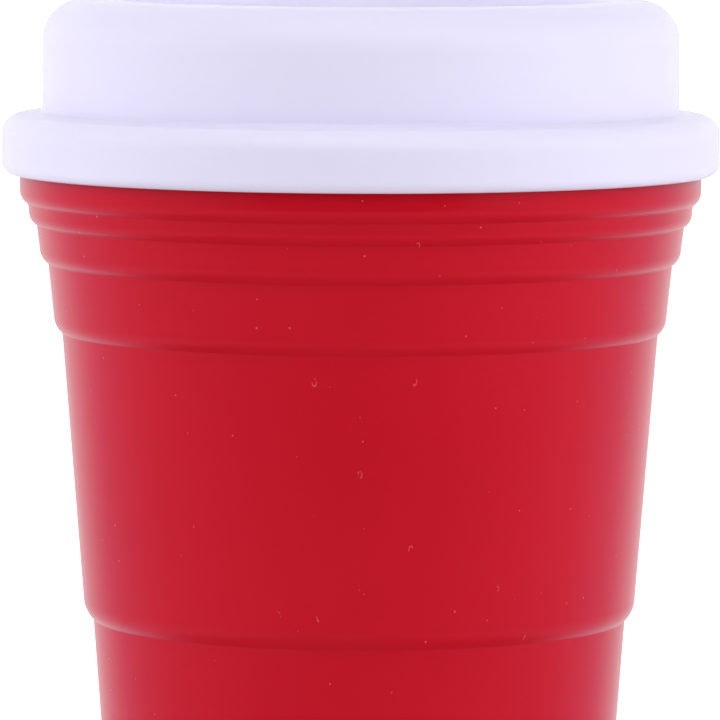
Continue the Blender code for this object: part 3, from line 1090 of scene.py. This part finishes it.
def softbox(name, azimuth, elevation, size, power):
    """A square area light on a sphere round the cup, facing it, that the camera doesn't see."""
    data = bpy.data.lights.new(name, "AREA")
    data.shape = "SQUARE"
    data.size = size
    data.energy = power
    light = link(bpy.data.objects.new(name, data))
    flat = math.cos(elevation)
    way = Vector((flat * math.sin(azimuth), -flat * math.cos(azimuth), math.sin(elevation)))
    offset = way * LIGHT_DISTANCE
    light.location = Vector((0, 0, CAD_BOX[1].z / 2)) + offset
    light.rotation_euler = offset.to_track_quat("Z", "Y").to_euler()
    light.visible_camera = False
    return light


def build_world():
    """A room that looks white, lights the pieces softly, mostly from below and behind, and shows
    reflections a front that is dark and a back that is bright.
    """
    world = bpy.data.worlds.new("studio")
    bpy.context.scene.world = world
    world.use_nodes = True
    world.node_tree.nodes.clear()
    graph = Graph(world.node_tree)
    way = graph.add("ShaderNodeTexCoord", {}, {})["Generated"]
    axes = graph.add("ShaderNodeSeparateXYZ", {}, {"Vector": way})
    behind = axes["Y"] * 0.5 + 0.5
    room = graph.add("ShaderNodeValToRGB", {"stops": ROOM_STOPS}, {"Fac": behind})["Color"]
    across = graph.ease(graph.maths("ABSOLUTE", axes["X"]), 0.62, 0.52)
    upright = graph.ease(axes["Z"], -0.1, -0.07) * graph.ease(axes["Z"], 0.5, 0.3)
    opening = across * upright * graph.ease(axes["Y"], -0.3, -0.5)
    wall = graph.blend(opening, room, grey(0.0))
    mirrored = graph.blend(graph.ease(axes["Z"], -0.55, -0.85), wall, grey(UNDERSIDE_REFLECTION))
    low = graph.ease(axes["Z"], 0.0, -0.3)
    high = graph.blend(graph.ease(axes["Y"], -0.2, 0.9), grey(LIGHT_IN_FRONT), grey(1.0))
    even = graph.blend(low, high, grey(LIGHT_FROM_BELOW))
    ray = graph.add("ShaderNodeLightPath", {}, {})
    lit = graph.blend(ray["Is Glossy Ray"], even, mirrored)
    seen = graph.blend(ray["Is Camera Ray"], lit, grey(1.0))
    glow = {"Color": seen, "Strength": ROOM_GLOW}
    shader = graph.add("ShaderNodeBackground", {}, glow)["Background"]
    graph.add("ShaderNodeOutputWorld", {}, {"Surface": shader})


def build_floor():
    form = bmesh.new()
    bmesh.ops.create_grid(form, x_segments=8, y_segments=8, size=FLOOR_HALF)
    mesh = bpy.data.meshes.new("floor")
    form.to_mesh(mesh)
    form.free()
    mesh.transform(Matrix.Translation((0, 0, -FLOOR_DROP)))
    floor = link(bpy.data.objects.new("floor", mesh))
    material, graph = new_material("floor_white", grey(0.9))
    surface(graph, {
        "Base Color": grey(0.86),
        "Roughness": 1.0,
        "Specular IOR Level": 0.0,
        "Emission Color": grey(1.0),
        "Emission Strength": 0.8,
    })
    mesh.materials.append(material)
    floor.visible_glossy = False
    floor.visible_diffuse = False


def build_camera(studio):
    data = bpy.data.cameras.new("camera")
    data.lens = studio.lens
    data.sensor_width = CAMERA_SENSOR
    data.clip_start, data.clip_end = CAMERA_RANGE
    camera = link(bpy.data.objects.new("camera", data))
    back = Vector((0, -math.cos(studio.elevation), math.sin(studio.elevation)))
    camera.location = Vector((0, 0, studio.aim)) + back * studio.distance
    camera.rotation_euler = back.to_track_quat("Z", "Y").to_euler()
    camera.rotation_euler.rotate_axis("Z", studio.roll)
    bpy.context.scene.camera = camera


class CUP_OT_studio(bpy.types.Operator):
    """Set up the floor, the white room, the softboxes and the camera"""

    bl_idname = "travel_cup.studio"
    bl_label = "Studio"

    def execute(self, context):
        studio = context.scene.cup_studio
        build_world()
        build_floor()
        for name, azimuth, elevation, size, mirrored in SOFTBOXES:
            light = softbox(name + "_softbox", azimuth, elevation, size, getattr(studio, name))
            light.visible_glossy = mirrored
        build_camera(studio)
        context.scene.view_settings.view_transform = "Standard"
        return {"FINISHED"}


OPERATORS = (
    CUP_OT_shell,
    CUP_OT_liner,
    CUP_OT_cover,
    CUP_OT_insert,
    CUP_OT_gasket,
    CUP_OT_slide,
    CUP_OT_studio,
)


class CUP_PT_panel(bpy.types.Panel):
    """Lists the cup's settings and the steps that build it"""

    bl_idname = "CUP_PT_panel"
    bl_label = "Travel Cup"
    bl_space_type = "VIEW_3D"
    bl_region_type = "UI"
    bl_category = "Travel Cup"

    def draw(self, context):
        for group_name in GROUPS:
            group = getattr(context.scene, group_name)
            box = self.layout.box()
            for name in group.__annotations__:
                box.prop(group, name)
        for operator in OPERATORS:
            self.layout.operator(operator.bl_idname)


GROUPS = {"cup_sizes": CupSizes, "cup_finishes": CupFinishes, "cup_studio": CupStudio}


def register():
    for name, group in GROUPS.items():
        bpy.utils.register_class(group)
        setattr(bpy.types.Scene, name, PointerProperty(type=group))
    for cls in (*OPERATORS, CUP_PT_panel):
        bpy.utils.register_class(cls)


def unregister():
    for cls in (CUP_PT_panel, *OPERATORS[::-1]):
        bpy.utils.unregister_class(cls)
    for name, group in GROUPS.items():
        delattr(bpy.types.Scene, name)
        bpy.utils.unregister_class(group)


def main():
    register()
    bpy.ops.travel_cup.studio()
    bpy.ops.travel_cup.shell()
    bpy.ops.travel_cup.liner()
    bpy.ops.travel_cup.cover()
    bpy.ops.travel_cup.insert()
    bpy.ops.travel_cup.gasket()
    bpy.ops.travel_cup.slide()


if __name__ == "__main__":
    main()
